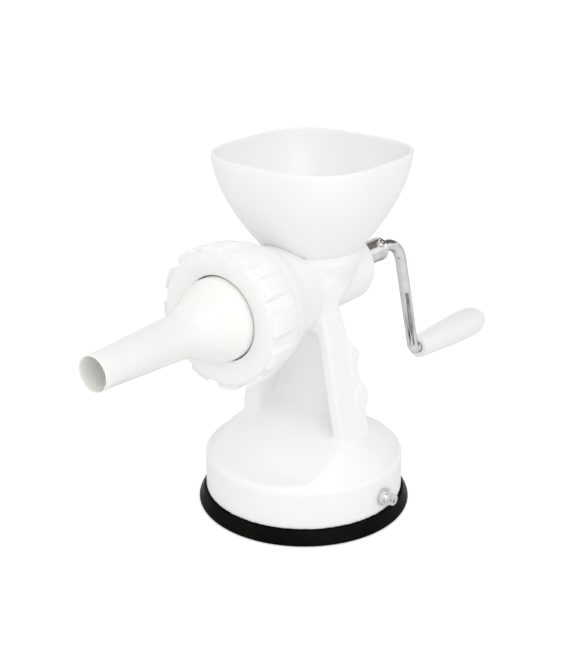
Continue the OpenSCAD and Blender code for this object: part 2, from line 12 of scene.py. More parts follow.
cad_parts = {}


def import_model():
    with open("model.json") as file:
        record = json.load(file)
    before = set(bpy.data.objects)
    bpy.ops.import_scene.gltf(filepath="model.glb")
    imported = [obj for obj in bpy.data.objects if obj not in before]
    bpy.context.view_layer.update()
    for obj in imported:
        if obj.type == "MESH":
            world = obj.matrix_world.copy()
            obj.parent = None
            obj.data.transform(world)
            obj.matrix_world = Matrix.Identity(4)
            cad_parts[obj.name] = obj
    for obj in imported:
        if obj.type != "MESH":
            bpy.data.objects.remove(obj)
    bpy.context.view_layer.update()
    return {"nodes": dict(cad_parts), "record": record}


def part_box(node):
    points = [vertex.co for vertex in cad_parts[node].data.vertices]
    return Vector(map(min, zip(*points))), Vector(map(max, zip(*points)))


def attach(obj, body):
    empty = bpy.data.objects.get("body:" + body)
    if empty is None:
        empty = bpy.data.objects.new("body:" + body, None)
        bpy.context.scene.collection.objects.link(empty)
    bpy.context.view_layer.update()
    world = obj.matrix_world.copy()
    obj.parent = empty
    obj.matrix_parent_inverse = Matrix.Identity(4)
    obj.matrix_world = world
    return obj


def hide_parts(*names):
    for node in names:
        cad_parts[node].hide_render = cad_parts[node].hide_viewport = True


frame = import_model()

MM = 0.001
X, Y, Z = Vector((1, 0, 0)), Vector((0, 1, 0)), Vector((0, 0, 1))


def corner(node, which):
    """Lowest (0) or highest (1) corner of a CAD node, in millimetres."""
    return Vector(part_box(node)[which]) / MM


# Driving sizes, from the frame where it holds them
CUP_R = corner("suction_cup", 1).x
DRUM_R = 58.7
DRUM_FOOT = corner("housing", 0).z
DECK = 33.0
DOME_TOP = 50.0
DOME_Y = -3.5
AXIS = 137.0
BARREL_R = 21.5
BARREL_END = 41.5
BAY_TOP = AXIS - 22.5
NUT_FRONT = corner("ring_nut", 0).y
NUT_REAR = corner("ring_nut", 1).y
NUT_R = corner("ring_nut", 1).x
NUT_HOLE_R = 23.75
TIP = corner("stuffing_nozzle", 0).y
FLANGE_END = corner("stuffing_nozzle", 1).y
FLANGE_T = 2.7
HOPPER_Y = 7.1
RIM = corner("hopper", 1).z
RIM_HALF = corner("hopper", 1).x
NECK_R = 28.8
NECK = 158.0
BOWL_FOOT = NECK + 0.05
SOCKET_R = 25.3
SOCKET_FLOOR = 155.4
BORE_R = 18.0
CHAMBER_R = 24.6
SHAFT_HOLE_R = 8.4
THROAT_R = 15.0
LEG = 9.3
LEG_FRONT = -11.4
LEG_LEAN = 4.2
FOOT_HALF = 37.5
NECK_HALF = 23.0
# side view of the pedestal's back, as (y, z): it bends at the knee
BACK_TOP = (-0.6, AXIS)
BACK_KNEE = (12.4, 81.0)
BACK_FOOT = (13.8, 62.0)
HUB_R = 7.0
ROD_R = 3.6
LEVER_ANGLE = math.radians(-2.5)
LEVER_Z = 19.0
LEVER_DROOP = math.radians(-30)
# faces round a large turned shape
ROUND = 128


# ---------------------------------------------------------------- camera

def camera():
    """Longish lens, a little to the right of the nozzle and above it."""
    azimuth, elevation = math.radians(37.93), math.radians(21.93)
    aim = Vector((0, -10.55, 110)) * MM
    distance = 0.74795
    back = Vector((math.sin(azimuth) * math.cos(elevation),
                   -math.cos(azimuth) * math.cos(elevation), math.sin(elevation)))
    data = bpy.data.cameras.new("camera")
    data.lens = 70.05
    data.sensor_width = 36
    data.shift_x = 0.00146
    data.shift_y = -0.00778
    eye = bpy.data.objects.new("camera", data)
    eye.location = aim + back * distance
    eye.rotation_mode = "QUATERNION"
    eye.rotation_quaternion = (-back).to_track_quat("-Z", "Y")
    bpy.context.collection.objects.link(eye)
    bpy.context.scene.camera = eye


camera()


# ---------------------------------------------------------------- materials

def shader(name, colour, rough, metal=0.0):
    """Material with a principled shader; returns it with its nodes, links and shader node."""
    material = bpy.data.materials.new(name)
    material.use_nodes = True
    nodes, links = material.node_tree.nodes, material.node_tree.links
    principled = nodes["Principled BSDF"]
    principled.inputs["Base Color"].default_value = (*colour, 1)
    principled.inputs["Roughness"].default_value = rough
    principled.inputs["Metallic"].default_value = metal
    return material, nodes, links, principled


def noise(nodes, links, scale, detail, stretch=(1, 1, 1)):
    """Noise on Object coordinates; scale is in cells per metre."""
    place = nodes.new("ShaderNodeTexCoord")
    turn = nodes.new("ShaderNodeMapping")
    turn.inputs["Scale"].default_value = stretch
    grain = nodes.new("ShaderNodeTexNoise")
    grain.inputs["Scale"].default_value = scale
    grain.inputs["Detail"].default_value = detail
    links.new(place.outputs["Object"], turn.inputs["Vector"])
    links.new(turn.outputs["Vector"], grain.inputs["Vector"])
    return grain.outputs["Fac"]


def ramp(nodes, links, source, low, high, start=0.35, end=0.65):
    """Colour ramp between two colours."""
    node = nodes.new("ShaderNodeValToRGB")
    node.color_ramp.elements[0].position = start
    node.color_ramp.elements[0].color = (*low, 1)
    node.color_ramp.elements[1].position = end
    node.color_ramp.elements[1].color = (*high, 1)
    links.new(source, node.inputs["Fac"])
    return node.outputs["Color"]


def spread(nodes, links, source, low, high, start=0.3, end=0.7):
    """Maps a noise to a range of numbers."""
    node = nodes.new("ShaderNodeMapRange")
    node.inputs["From Min"].default_value = start
    node.inputs["From Max"].default_value = end
    node.inputs["To Min"].default_value = low
    node.inputs["To Max"].default_value = high
    links.new(source, node.inputs["Value"])
    return node.outputs["Result"]


def bump(nodes, links, principled, source, strength, depth):
    """Bump of the given depth in metres."""
    node = nodes.new("ShaderNodeBump")
    node.inputs["Strength"].default_value = strength
    node.inputs["Distance"].default_value = depth
    links.new(source, node.inputs["Height"])
    links.new(node.outputs["Normal"], principled.inputs["Normal"])


def moulded(name, light, dark, rough, skin=0.000004, glow=0.0):
    """Injection moulded plastic: broad soft tone, slightly uneven gloss and a faint orange-peel skin."""
    material, nodes, links, principled = shader(name, light, rough)
    cloud = noise(nodes, links, 14, 1, (1, 1, 0.6))
    links.new(ramp(nodes, links, cloud, dark, light, 0.2, 0.8), principled.inputs["Base Color"])
    wear = noise(nodes, links, 24, 2)
    links.new(spread(nodes, links, wear, rough - 0.01, rough + 0.01, 0, 1), principled.inputs["Roughness"])
    bump(nodes, links, principled, noise(nodes, links, 420, 0), 0.15, skin)
    principled.inputs["IOR"].default_value = 1.45
    principled.inputs["Subsurface Weight"].default_value = glow
    principled.inputs["Subsurface Radius"].default_value = (1.0, 0.9, 0.8)
    principled.inputs["Subsurface Scale"].default_value = 0.003
    return material


def metal(name, light, dark, rough, stretch, scratch):
    """Metal with fine marks along one direction."""
    material, nodes, links, principled = shader(name, light, rough, 1.0)
    marks = noise(nodes, links, 1400, 4, stretch)
    stain = noise(nodes, links, 90, 2)
    principled.inputs["Specular Tint"].default_value = (0.5, 0.49, 0.48, 1)
    links.new(ramp(nodes, links, stain, dark, light), principled.inputs["Base Color"])
    links.new(spread(nodes, links, marks, rough * 0.8, rough * 1.3), principled.inputs["Roughness"])
    bump(nodes, links, principled, marks, 0.3, scratch)
    return material


def rubber_black():
    """Black rubber with a satin skin."""
    material, nodes, links, principled = shader("satin_rubber", (0.003, 0.003, 0.003), 0.3)
    patches = noise(nodes, links, 30, 2)
    links.new(ramp(nodes, links, patches, (0.002, 0.002, 0.002), (0.005, 0.005, 0.0045)),
              principled.inputs["Base Color"])
    links.new(spread(nodes, links, patches, 0.26, 0.34), principled.inputs["Roughness"])
    bump(nodes, links, principled, noise(nodes, links, 900, 2), 0.25, 0.00001)
    principled.inputs["IOR"].default_value = 1.1
    return material


# one finish for each of the record's material slots
FINISH = {
    "white_plastic": moulded("glossy_white", (0.93, 0.93, 0.926), (0.928, 0.928, 0.924), 0.33),
    "cream_plastic": moulded("milky_white", (0.935, 0.94, 0.895), (0.93, 0.935, 0.885), 0.2, 0.000003, 0.4),
    "polished_steel": metal("chrome", (0.86, 0.855, 0.85), (0.74, 0.73, 0.72), 0.13, (1, 1, 0.15), 0.000001),
    "brushed_steel": metal("ground_steel", (0.66, 0.66, 0.67), (0.55, 0.55, 0.56), 0.3, (0.1, 1, 1), 0.00001),
    "black_rubber": rubber_black(),
}


# ---------------------------------------------------------------- mesh helpers

def place(bm, name, slot, body, stands_for=(), bevel=0.0, angle=30):
    """Turns a bmesh in millimetres into a piece in metres that rides on a body."""
    bmesh.ops.scale(bm, vec=(MM, MM, MM), verts=bm.verts)
    dress(shape(bm, name), slot, body, stands_for, bevel, angle)


def finished(obj, name, slot, body, stands_for=(), bevel=0.0, matrix=Matrix()):
    """Turns a working object in millimetres into a piece in metres that rides on a body."""
    obj.data.transform(Matrix.Scale(MM, 4) @ matrix)
    obj.name = name
    dress(obj, slot, body, stands_for, bevel)


def dress(piece, slot, body, stands_for=(), bevel=0.0, angle=30):
    """Smooth shading, rounded edges, material and place in the assembly."""
    for face in piece.data.polygons:
        face.use_smooth = True
    if bevel:
        edge = piece.modifiers.new("edges", "BEVEL")
        edge.width = bevel * MM
        edge.segments = 3
        edge.limit_method = "ANGLE"
        edge.angle_limit = math.radians(angle)
        edge.harden_normals = True
    piece.data.materials.clear()
    piece.data.materials.append(FINISH[slot])
    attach(piece, body)
    if stands_for:
        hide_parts(*stands_for)


def clean(bm):
    """Merges doubles and points the faces outwards."""
    bmesh.ops.remove_doubles(bm, verts=bm.verts, dist=0.0005)
    bmesh.ops.recalc_face_normals(bm, faces=bm.faces)
    return bm


def aimed(direction):
    """Rotation that turns +Z to a direction."""
    return Z.rotation_difference(direction).to_matrix().to_4x4()


def on_axis(y=0.0):
    """Matrix that puts a shape made round +Z on the barrel's axis, from y backwards."""
    return Matrix.Translation((0, y, AXIS)) @ aimed(Y)


OVER_THROAT = Matrix.Translation((0, HOPPER_Y, 0))


def lathe(outline, steps):
    """Solid of revolution round Z from a closed outline of (radius, height) points."""
    bm = bmesh.new()
    verts = [bm.verts.new((r, 0, h)) for r, h in outline]
    sides = zip(verts, verts[1:] + verts[:1])
    edges = [bm.edges.new(pair) for pair in sides if (pair[0].co - pair[1].co).length > 1e-6]
    bmesh.ops.spin(bm, geom=verts + edges, cent=(0, 0, 0), axis=(0, 0, 1),
                   angle=2 * math.pi, steps=steps, use_merge=True)
    return clean(bm)


def ring_edges(bm, verts):
    """Edges between the vertices of one ring."""
    own = set(verts)
    return [e for e in bm.edges if e.verts[0] in own and e.verts[1] in own]


def skinned(bm, rings, around=False):
    """Bridges each ring to the next. The last then joins the first (around), or both ends get a cap."""
    following = rings[1:] + rings[:1] if around else rings[1:]
    for ring, after in zip(rings, following):
        bmesh.ops.bridge_loops(bm, edges=ring + after)
    if not around:
        bmesh.ops.contextual_create(bm, geom=rings[0])
        bmesh.ops.contextual_create(bm, geom=rings[-1])
    return clean(bm)


def flowing(points, cuts=6):
    """Smooth curve through outline points."""
    line = []
    for i in range(len(points) - 1):
        before = Vector(points[max(i - 1, 0)])
        start, end = Vector(points[i]), Vector(points[i + 1])
        after = Vector(points[min(i + 2, len(points) - 1)])
        for k in range(cuts):
            t = k / cuts
            line.append(tuple(0.5 * (2 * start + (end - before) * t
                                     + (2 * before - 5 * start + 4 * end - after) * t ** 2
                                     + (3 * start - before - 3 * end + after) * t ** 3)))
    return line + [tuple(points[-1])]


def turned(bm, matrix):
    """Moves the whole bmesh."""
    bmesh.ops.transform(bm, matrix=matrix, verts=bm.verts)
    return bm


def rod(radius, length, steps=64):
    """Plain cylinder from z = 0 up."""
    return lathe([(0, 0), (radius, 0), (radius, length), (0, length)], steps)


def slab(low, high):
    """Upright block between two corners."""
    bm = bmesh.new()
    bmesh.ops.create_cube(bm, size=1)
    low, high = Vector(low), Vector(high)
    bmesh.ops.scale(bm, vec=high - low, verts=bm.verts)
    bmesh.ops.translate(bm, vec=(low + high) / 2, verts=bm.verts)
    return bm


def prism(outline, depth, matrix=Matrix()):
    """Outline in the XY plane, extruded along Z and then placed."""
    bm = bmesh.new()
    face = bm.faces.new([bm.verts.new((x, y, 0)) for x, y in outline])
    top = bmesh.ops.extrude_face_region(bm, geom=[face])["geom"]
    bmesh.ops.translate(bm, vec=(0, 0, depth), verts=[v for v in top if isinstance(v, bmesh.types.BMVert)])
    return turned(clean(bm), matrix)


def join(*parts):
    """One bmesh from several."""
    whole = bmesh.new()
    for part in parts:
        mesh = bpy.data.meshes.new("part")
        part.to_mesh(mesh)
        part.free()
        whole.from_mesh(mesh)
        bpy.data.meshes.remove(mesh)
    return whole


def shape(bm, name="shape"):
    """Working object, in millimetres, for a modifier."""
    mesh = bpy.data.meshes.new(name)
    bm.to_mesh(mesh)
    bm.free()
    obj = bpy.data.objects.new(name, mesh)
    bpy.context.collection.objects.link(obj)
    return obj


def applied(obj):
    """Bakes an object's modifiers into its mesh."""
    graph = bpy.context.evaluated_depsgraph_get()
    mesh = bpy.data.meshes.new_from_object(obj.evaluated_get(graph))
    obj.modifiers.clear()
    obj.data = mesh
    return obj


def combined(base, *others, how="UNION"):
    """Exact boolean of working objects."""
    for other in others:
        step = base.modifiers.new(how, "BOOLEAN")
        step.operation = how
        step.object = other
        step.solver = "EXACT"
        applied(base)
        bpy.data.objects.remove(other)
    return base


# ---------------------------------------------------------------- moulded housing

def pedestal_half(z):
    """Half the pedestal's width at a height."""
    return NECK_HALF + (FOOT_HALF - NECK_HALF) * (AXIS - z) / (AXIS - DOME_TOP)


def front_view(inset, low, high):
    """Tapered front outline of the pedestal."""
    return [(-pedestal_half(low) + inset, low), (pedestal_half(low) - inset, low),
            (pedestal_half(high) - inset, high), (-pedestal_half(high) + inset, high)]


def front_solid(inset, depth=90):
    """Pedestal's front outline, extruded forwards from behind it."""
    facing_front = Matrix.Translation((0, 40, 0)) @ Matrix.Rotation(math.radians(90), 4, "X")
    return shape(prism(front_view(inset, DECK - 2, AXIS), depth, facing_front))


def side_solid(outline, half):
    """Outline drawn as (y, z), extruded to both sides by half a width."""
    facing_side = Matrix(((0, 0, 1, 0), (1, 0, 0, 0), (0, 1, 0, 0), (0, 0, 0, 1)))
    return shape(prism(outline, 2 * half, Matrix.Translation((-half, 0, 0)) @ facing_side))


def arc(cx, cy, radius, start, end, count):
    """Points on an arc, in degrees."""
    return [(cx + radius * math.cos(math.radians(start + (end - start) * i / count)),
             cy + radius * math.sin(math.radians(start + (end - start) * i / count)))
            for i in range(count + 1)]


def floor_line():
    """Side outline of the bay's floor, from the legs down to the drum's front, as (y, z)."""
    return flowing([(LEG_FRONT, DOME_TOP), (-20, 46.9), (-28, 43.4), (-35, 39.5), (-41, 36.6), (-48, 35.0),
                    (-56, 34.2), (-66, 33.9)], 4)


def back_line(z):
    """Where the pedestal's back stands at a height."""
    end_y, end_z = BACK_TOP if z > BACK_KNEE[1] else BACK_FOOT
    return BACK_KNEE[0] + (end_y - BACK_KNEE[0]) * (z - BACK_KNEE[1]) / (end_z - BACK_KNEE[1])


def leg_rounding():
    """Wedge that takes the edge off the bay's mouth, wider in front than behind."""
    bm = bmesh.new()
    rings = []
    for depth, inset in ((-1.0, LEG - 4.0), (3.4, LEG + 0.1)):
        ring = []
        for x, z in front_view(inset, DOME_TOP + 1, BAY_TOP):
            face_y = LEG_FRONT - LEG_LEAN * (z - DECK) / (AXIS - DECK)
            ring.append(bm.verts.new((x, face_y + depth, z)))
        rings.append(ring)
    front, rear = rings
    for k in range(4):
        after = (k + 1) % 4
        bm.faces.new([front[k], front[after], rear[after], rear[k]])
    bm.faces.new(front)
    bm.faces.new(rear)
    return clean(bm)


def legs():
    """Tapered pedestal with two moulded bulges round its back and a raised panel under each."""
    side = [(LEG_FRONT, DECK - 2), (14, DECK - 2), BACK_FOOT, BACK_KNEE, BACK_TOP,
            (LEG_FRONT - LEG_LEAN, AXIS)]
    body = combined(front_solid(0), side_solid(side, 50), how="INTERSECT")
    upper = flowing([(3.5, 95.5), (4.2, 100.5), (back_line(104.6) - 0.6, 104.6), (9.6, 101.6), (12.3, 98.8),
                     (13.4, 96), (12.6, 93.6), (back_line(91) - 0.4, 91), (6.2, 92), (3.5, 95.5)], 3)[:-1]
    lower = flowing([(4.6, 70), (6.0, 75.6), (11.5, 78.6), (15.4, 75.6), (16.8, 72), (16.3, 68.4),
                     (14.0, 64.4), (9.5, 63.6), (6.0, 65.4), (4.6, 70)], 3)[:-1]
    middle_panel = [(3, 77.5), (back_line(78) - 0.8, 77.5), (back_line(86) - 0.8, 86), (7.6, 90.6),
                    (4.6, 88.8), (3, 84.5)]
    low_panel = [(2, 44), (13, 44), (13, 57), (9, 63), (5, 61.8), (2.6, 57)]
    for outline, out in ((upper, 0.9), (lower, 0.9), (middle_panel, 0.35), (low_panel, 0.35)):
        body = combined(body, combined(front_solid(-out), side_solid(outline, 50), how="INTERSECT"))
    return body


def bowl_ring(bm, z, inset, count):
    """Ring of the hopper's outside at a height: round at the neck, a rounded square at the rim."""
    rim_power, bowl_power = 3.24, 1.75
    rim_diag = RIM_HALF * math.sqrt(2) / 2 ** (1 / rim_power)
    fall = min((RIM - z) / (RIM - BOWL_FOOT), 1)
    diag = rim_diag - (rim_diag - NECK_R) * fall ** bowl_power - inset
    power = rim_power - (rim_power - 2) * fall
    half = diag / math.sqrt(2) * 2 ** (1 / power)
    made = bmesh.ops.create_circle(bm, segments=count, radius=1)["verts"]
    for vert in made:
        angle = math.atan2(vert.co.y, vert.co.x)
        c, s = math.cos(angle), math.sin(angle)
        vert.co = Vector((half * math.copysign(abs(c) ** (2 / power), c),
                          half * math.copysign(abs(s) ** (2 / power), s), z))
    return ring_edges(bm, made)


def base():
    """Drum with a rounded deck edge, and the dome on it with its back and front cut to slopes."""
    edge, deck = 3.2, DECK + 0.6
    drum = shape(lathe([(0, DRUM_FOOT), (DRUM_R, DRUM_FOOT)]
                       + arc(DRUM_R - edge, deck - edge, edge, 0, 90, 8) + [(0, deck)], ROUND))
    top = DOME_TOP + 1.5
    hill = [(54.9, DECK - 6), (54.9, 32.6), (53.6, 34.4), (50.2, 38.7), (46.4, 42.6), (42.4, 46.2),
            (38, 49.6), (33, top)]
    dome = shape(turned(lathe(hill + [(0, top), (0, DECK - 6)], ROUND), Matrix.Translation((0, DOME_Y, 0))))
    skirt_top = 48.4
    skirt = [(56.0, DECK - 6), (56.0, 32.8), (54.4, 34.5), (50, 37.1), (44, 40.9), (38, 44.9),
             (33, skirt_top)]
    dome = combined(dome, shape(lathe(skirt + [(0, skirt_top), (0, DECK - 6)], ROUND)))
    back = side_solid([(16, DOME_TOP + 0.6), (53, DECK + 1.2), (80, DECK + 1.2), (80, 90), (16, 90)], 70)
    scoop = side_solid(floor_line() + [(-90, 33.9), (-90, 90), (LEG_FRONT, 90)], 70)
    return combined(drum, combined(dome, back, scoop, how="DIFFERENCE"), legs())


def bay():
    """Hollow between the legs, with a round foot to its back wall."""
    side = flowing([(LEG_FRONT, DOME_TOP), (-5, 52.4), (0, 54.6), (4.4, 57.8), (7.4, 62.4), (8.8, 68),
                    (8.4, 74), (5.8, 87), (0.2, BAY_TOP)], 4)
    side = [(-20, 46.9)] + side + [(-60, BAY_TOP), (-60, 60)]
    return combined(front_solid(LEG, 110), side_solid(side, 50), how="INTERSECT")


def barrel():
    """Barrel's outside, flaring forwards to the nut, with a rounded rear edge."""
    edge, front_r = 3.2, 32.9
    flare = flowing([(37.1, -55), (36.9, -52.5), (36.0, -48.5), (34.3, -44), (32.0, -39.5), (30.1, -35),
                     (28.4, -29), (27.2, -24), (26.1, -20), (24.6, -15), (23, -9), (21.9, -3),
                     (BARREL_R, 3)], 4)
    outline = ([(0, -65), (front_r, -65), (front_r, -55)] + flare
               + arc(BARREL_R - edge, BARREL_END - edge, edge, 0, 90, 6) + [(0, BARREL_END)])
    return shape(turned(lathe(outline, ROUND), on_axis()))


def throat():
    """Widening neck between the barrel and the collar."""
    outline = [(0, 132), (21, 132), (23.2, 136), (24.4, 140), (25.8, 144.4), (27.2, 148.4), (28.4, 151.6),
               (28.5, NECK), (0, NECK)]
    return shape(turned(lathe(outline, ROUND), OVER_THROAT))


def shoulders():
    """Swelling at each side under the throat."""
    return side_solid([(-22, 140), (-19, 142.6), (13, 143.8), (15, 140), (10, 135.5), (2, 129), (0, 124),
                       (-14, 124)], 24.2)


def hollows():
    """Sloping throat, bore, nut's chamber, shaft hole and the lever's pocket."""
    slope = Matrix.Rotation(math.radians(27), 4, "X")
    chute = turned(rod(THROAT_R, 47), slope @ Matrix.Translation((0, 0, -27)))
    chute = turned(chute, Matrix.Translation((0, HOPPER_Y, NECK + 2)))
    holes = ((BORE_R, 80, -66.5), (CHAMBER_R, 12, -67), (SHAFT_HOLE_R, 40, 12))
    round_holes = [turned(rod(radius, length), on_axis(y)) for radius, length, y in holes]
    pocket = turned(slab((-1, 2.6, -2), (12.6, 4.6, 5)), lever_place(DRUM_R))
    return [shape(cutter) for cutter in (chute, *round_holes, pocket)]


def crisp_cuts():
    """Seat of the hopper and the step behind the nut, which keep sharp edges."""
    crown = bmesh.new()
    # a little under the collar's top, so that no two faces share a plane there
    floor_z = NECK - 0.25
    heights = (floor_z, 160, 162.5, 165.5, 169, 173)
    crown = skinned(crown, [bowl_ring(crown, z, -0.04, ROUND) for z in heights])
    socket = turned(rod(SOCKET_R, 20), Matrix.Translation((0, 0, SOCKET_FLOOR)))
    step_r, far_r, step_end = 33.2, 45, NUT_REAR + 0.1
    step = lathe([(step_r, -60), (far_r, -60), (far_r, step_end), (step_r, step_end)], ROUND)
    return [shape(turned(crown, OVER_THROAT)),
            shape(turned(socket, OVER_THROAT)),
            shape(turned(step, on_axis()))]


def split_many_sided(obj, most_sides=12):
    """Cuts the many-sided faces that the booleans leave into triangles."""
    bm = bmesh.new()
    bm.from_mesh(obj.data)
    bmesh.ops.triangulate(bm, faces=[f for f in bm.faces if len(f.verts) > most_sides])
    bm.to_mesh(obj.data)
    bm.free()


def housing():
    """Drum, dome, legs, barrel and throat as one moulding, with soft fillets where they meet."""
    body = combined(base(), bay(), shape(leg_rounding()), how="DIFFERENCE")
    body = combined(body, barrel(), throat(), shoulders())
    body = combined(body, *hollows(), how="DIFFERENCE")
    body.data.transform(Matrix.Scale(MM, 4))
    soften(body, 0.00095, 5)
    blend(body)
    body.data.transform(Matrix.Scale(1 / MM, 4))
    body = combined(body, *crisp_cuts(), how="DIFFERENCE")
    split_many_sided(body)
    finished(body, "housing_moulding", "white_plastic", "stand", ("housing",))
    body.data.set_sharp_from_angle(angle=math.radians(35))


def throat_collar():
    """Crisp collar that the hopper stands on, with a small lug."""
    ring = lathe([(25.4, 152.1), (28.5, 152.0), (NECK_R, 152.3), (NECK_R, NECK - 0.05), (NECK_R - 0.05, NECK),
                  (25.4, NECK)], 160)
    lug = turned(slab((27.5, -1.7, 152.9), (29.7, 1.7, 154.5)), Matrix.Rotation(math.radians(-48.5), 4, "Z"))
    place(turned(join(ring, lug), OVER_THROAT), "throat_ring", "white_plastic", "stand", (), 0.08)


def lever_place(out_by):
    """Matrix that puts an outline on the lever's axle, at a distance from the drum's middle."""
    out = Vector((math.cos(LEVER_ANGLE), math.sin(LEVER_ANGLE), 0))
    across = Matrix((Vector((-out.y, out.x, 0)), Z, out)).transposed().to_4x4()
    return Matrix.Translation(out * out_by + Z * LEVER_Z) @ across @ Matrix.Rotation(LEVER_DROOP, 4, "Z")


def blend(obj):
    """Wider fillets where the legs run into the barrel and the throat, fading out over some millimetres."""
    fade, bore_margin = 5, 1.5
    side_x, front_y, rear_y, low_z, high_z = 17, -40, 38, 104, 151
    zone = obj.vertex_groups.new(name="wide_fillets")
    for vert in obj.data.vertices:
        x, y, z = vert.co / MM
        inside = min(abs(x) - side_x, y - front_y, rear_y - y, z - low_z, high_z - z) / fade
        if inside > 0 and math.hypot(x, z - AXIS) > BORE_R + bore_margin:
            zone.add([vert.index], min(inside, 1), "REPLACE")
    smoothed(obj, 20).vertex_group = zone.name
    applied(obj)


def smoothed(obj, rounds):
    """Adds a smoothing modifier and returns it."""
    smooth = obj.modifiers.new("smoothing", "SMOOTH")
    smooth.factor = 0.5
    smooth.iterations = rounds
    return smooth


def soften(obj, cell, rounds):
    """Voxel remesh of a working object in metres, then smoothing, which leaves moulded fillets."""
    remesh = obj.modifiers.new("voxels", "REMESH")
    remesh.mode = "VOXEL"
    remesh.voxel_size = cell
    smoothed(obj, rounds)
    applied(obj)


housing()
throat_collar()


# ---------------------------------------------------------------- hopper

def hopper():
    """Bowl that goes from a round neck to a rounded square rim with a thin bright lip."""
    steps, wall = 16, 1.9
    rim, foot = RIM - 0.001, SOCKET_FLOOR + 0.3
    bm = bmesh.new()

    def circle(z, radius):
        made = bmesh.ops.create_circle(bm, segments=ROUND, radius=radius)["verts"]
        for vert in made:
            vert.co.z = z
        return ring_edges(bm, made)

    def bowl(start, end, inset):
        return [bowl_ring(bm, start + (end - start) * i / steps, inset, ROUND) for i in range(steps + 1)]

    rings = [circle(foot, 18), circle(foot, 24.2), circle(foot + 0.6, 25), circle(BOWL_FOOT, 25),
             circle(BOWL_FOOT, NECK_R - 0.05)]
    rings += bowl(BOWL_FOOT + 0.1, RIM - 0.5, 0)
    rings += [bowl_ring(bm, z, inset, ROUND)
              for z, inset in ((RIM - 0.2, 0.12), (rim, 0.4), (rim, wall - 0.5), (RIM - 0.25, wall - 0.2))]
    rings += bowl(RIM - 0.9, 162, wall)
    rings += [circle(160.8, 27), circle(160.6, 20), circle(160, 18)]
    whole = turned(skinned(bm, rings, around=True), OVER_THROAT)
    place(whole, "hopper_bowl", "white_plastic", "hopper", ("hopper",))


hopper()


# ---------------------------------------------------------------- ring nut and nozzle

def ring_nut():
    """Nut with twelve grip pads, a dished face and a plain hollow for the barrel's end."""
    pads, first, share, soft = 12, 7.0, 0.6, 0.03
    hole, valley, inside = NUT_HOLE_R, NUT_R - 3, 34.6
    seat = FLANGE_END - FLANGE_T - NUT_FRONT
    depth = NUT_REAR - NUT_FRONT
    bm = bmesh.new()

    def pad(angle):
        """1 on a pad, 0 in a valley, with a short slope between."""
        turn = ((angle - first) / (360 / pads) + 0.5) % 1 - 0.5
        t = (share / 2 + soft - abs(turn)) / (2 * soft)
        t = min(max(t, 0), 1)
        return t * t * (3 - 2 * t)

    def ring(behind_front, radius, bulge=0.0):
        made = bmesh.ops.create_circle(bm, segments=360, radius=1)["verts"]
        for vert in made:
            angle = math.degrees(math.atan2(vert.co.y, vert.co.x))
            r = radius + bulge * pad(angle)
            vert.co = Vector((vert.co.x * r, NUT_FRONT + behind_front, AXIS + vert.co.y * r))
        return ring_edges(bm, made)

    face = [(seat, hole), (2.4, hole), (1.9, hole + 0.25), (1.7, hole + 0.7), (0.75, hole + 3.6),
            (0.2, hole + 5.2), (0, hole + 6.6), (0, valley - 0.9), (0.1, valley - 0.6), (0.6, valley - 0.45)]
    grips = [(0.85, valley - 0.4, 2.3), (1.1, valley - 0.3, 3.05), (1.6, valley - 0.1, 3.1), (6, valley, 3.0),
             (9.5, valley + 0.3, 2.6), (12.5, valley + 1.1, 1.5), (15.0, valley + 1.3, 1.0),
             (18.5, valley + 1.0, 0.7), (depth - 2.2, valley + 0.6, 0.5), (depth - 0.6, valley + 0.2, 0.2)]
    rear = [(depth, valley - 0.1), (depth, inside), (seat, inside)]
    whole = skinned(bm, [ring(*at) for at in face + grips + rear], around=True)
    place(whole, "ring_nut_body", "white_plastic", "nut", ("ring_nut",))


def stuffing_nozzle():
    """Thin walled tube that flares to the flange held by the nut."""
    length = FLANGE_END - TIP
    outside = [(9.75, 0.5), (9.8, 3), (9.8, 10), (10.6, 28), (11.3, 44), (11.9, 56), (12.6, 61.5),
               (14.2, 66.5), (18.2, 77), (22.4, 87.2), (23.0, 90.5), (23.05, length - FLANGE_T)]
    inside = [(20.2, length - FLANGE_T), (20.1, 90), (19.4, 87.5), (15.6, 78), (12.4, 68), (11.0, 62),
              (10.6, 55), (10.2, 40), (9.6, 25), (9.0, 9.9), (9.0, 0.5)]
    flange_r = 29.4
    outline = (flowing(outside) + [(flange_r, length - FLANGE_T + 0.1), (flange_r, length), (20.3, length)]
               + flowing(inside) + [(9.15, 0.12), (9.4, 0), (9.6, 0.12)])
    place(turned(lathe(outline, ROUND), on_axis(TIP)), "nozzle_tube", "cream_plastic", "stand",
          ("stuffing_nozzle",))


ring_nut()
stuffing_nozzle()


# ---------------------------------------------------------------- crank

def crank():
    """Hub with a collar at its rear end, and the head of the screw in it."""
    start, end = corner("crank_hub", 0).y, corner("crank_hub", 1).y
    length = end - start
    hub = lathe([(5.1, 0), (HUB_R - 0.4, 0), (HUB_R, 0.4), (HUB_R, length - 3.2), (HUB_R + 0.4, length - 2.9),
                 (HUB_R + 0.4, length - 1.2), (HUB_R - 0.1, length - 0.5), (6.2, length), (3.7, length),
                 (3.7, length - 12), (5.1, length - 12)], 96)
    place(turned(hub, on_axis(start)), "crank_sleeve", "polished_steel", "drive", ("crank_hub",), 0.2)
    head = lathe([(0, 5.4), (2.4, 5.4), (2.4, 8.0), (1.9, 8.5), (0.9, 8.5), (0.7, 7.6), (0, 7.6)], 48)
    tip = Matrix.Translation((0, 70.3, AXIS)) @ Matrix.Rotation(math.radians(40), 4, "Y")
    place(turned(head, tip), "hub_screw_head", "polished_steel", "drive", ("hub_screw",), 0.12)


